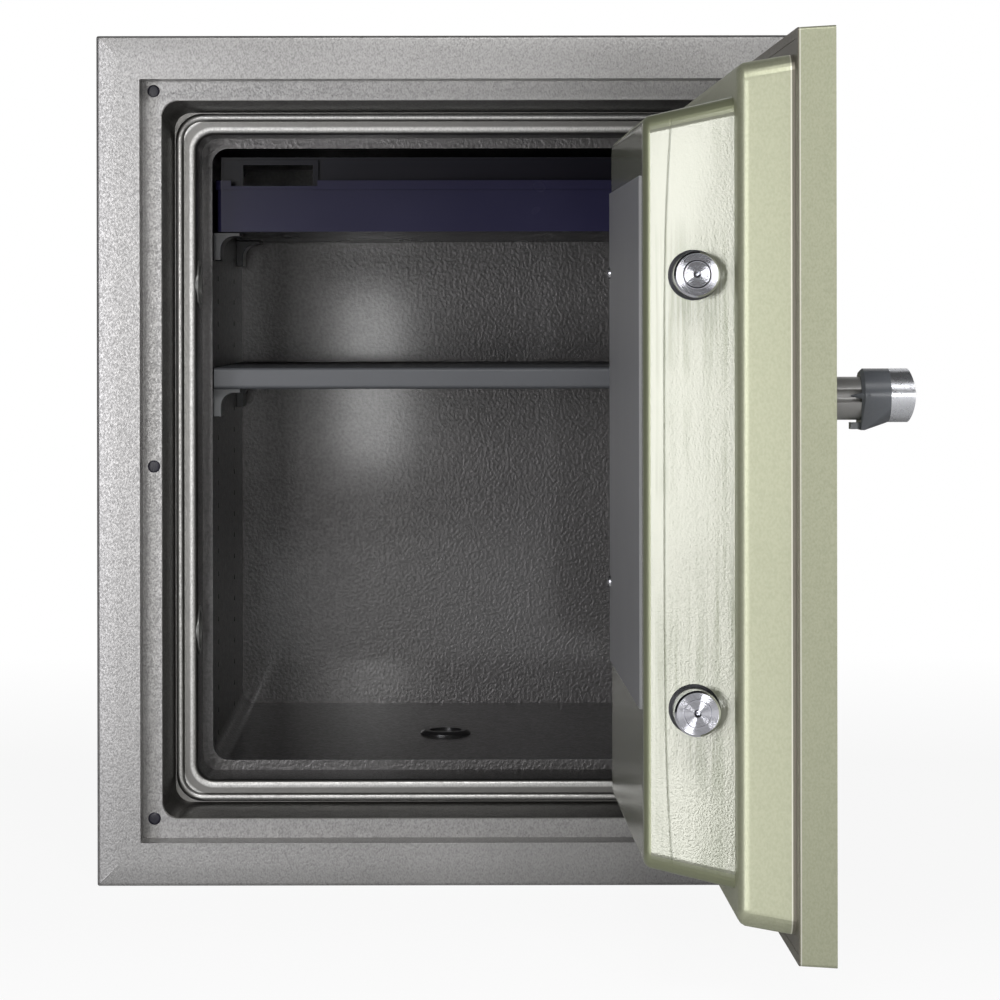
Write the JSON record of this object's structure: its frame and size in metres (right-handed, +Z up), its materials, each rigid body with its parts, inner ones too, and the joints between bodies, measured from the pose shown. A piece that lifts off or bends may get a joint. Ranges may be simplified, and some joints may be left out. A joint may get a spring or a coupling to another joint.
{
  "type": "fireproof safe",
  "caption": "Fireproof safe with a stepped door, live bolts, combination dial, key lock, pull-out tray and shelf",
  "frame": {"origin": "middle of the base, where the safe stands on the floor", "axes": "X to the right as seen from the front, Y from the door opening into the safe, Z up"},
  "size_m": [0.5315, 0.9728, 0.61],
  "materials": {
    "body_paint": "hammertone grey enamel",
    "door_paint": "hammertone khaki enamel",
    "liner_paint": "glossy hammertone grey enamel",
    "insulation": "light cast filling",
    "zinc_steel": "bright zinc plating",
    "dark_steel": "dark oiled steel",
    "black_plastic": "gloss black",
    "grey_plastic": "satin grey moulding",
    "navy_plastic": "gloss navy moulding",
    "cover_paint": "satin grey enamel",
    "bolt_chrome": "turned and chromed",
    "cast_silver": "silver enamel on a casting",
    "dark_enamel": "dark grey moulding",
    "satin_silver": "satin silver"
  },
  "bodies": {
    "safe_body": {"outer_casing": "body_paint", "base_plate": "body_paint", "rebate_rim": "body_paint", "back_panel": "body_paint", "jamb_frame": "body_paint", "throat_frame": "body_paint", "body_insulation": "insulation", "inner_liner": "liner_paint", "anchor_sleeve": "zinc_steel", "anchor_cap": "black_plastic", "rim_plugs": "black_plastic", "bolt_sockets": "liner_paint", "shelf": "grey_plastic", "shelf_brackets": "grey_plastic", "tray_brackets": "grey_plastic", "frame_hinges": "body_paint", "hinge_pins": "zinc_steel"},
    "tray": {"tray": "navy_plastic"},
    "door": {"door_hinges": "door_paint", "door_skin": "door_paint", "door_inner_pan": "door_paint", "door_insulation": "insulation", "inner_cover": "cover_paint", "cover_screws": "zinc_steel", "bolt_guides": "dark_steel", "lock_case": "zinc_steel", "dial_ring": "satin_silver", "key_housing": "bolt_chrome"},
    "bolt_work": {"live_bolts": "bolt_chrome", "bolt_carriage": "zinc_steel"},
    "handle": {"handle_spindle": "zinc_steel", "handle_neck": "cast_silver", "lever_body": "dark_enamel", "lever_cap": "satin_silver", "spindle_crank": "dark_steel"},
    "dial": {"combination_dial": "black_plastic"},
    "key_plug": {"key_plug": "zinc_steel"}
  },
  "joints": [
    {"name": "door_swing", "type": "hinge", "parent": "safe_body", "child": "door", "pos_m": [0.228, -0.2685, 0.305], "axis": [0, 0, 1], "range_deg": [-90.7, 84.3]},
    {"name": "handle_turn", "type": "hinge", "parent": "door", "child": "handle", "pos_m": [0.22435, -0.62477, 0.3602], "axis": [-0.9999, -0.0122, 0], "range_deg": [0, 80]},
    {"name": "bolt_slide", "type": "slide", "parent": "door", "child": "bolt_work", "axis": [-0.0122, 0.9999, 0], "range_m": [0, 0.025]},
    {"name": "tray_slide", "type": "slide", "parent": "safe_body", "child": "tray", "axis": [0, -1, 0], "range_m": [0, 0.13]},
    {"name": "dial_turn", "type": "hinge", "parent": "door", "child": "dial", "pos_m": [0.22279, -0.49658, 0.43], "axis": [-0.9999, -0.0122, 0], "continuous": true},
    {"name": "key_turn", "type": "hinge", "parent": "door", "child": "key_plug", "pos_m": [0.22279, -0.49658, 0.285], "axis": [-0.9999, -0.0122, 0], "range_deg": [0, 90]}
  ],
  "couplings": [
    {"joint": "bolt_slide", "follows": "handle_turn", "m_per_rad": 0.017905}
  ]
}
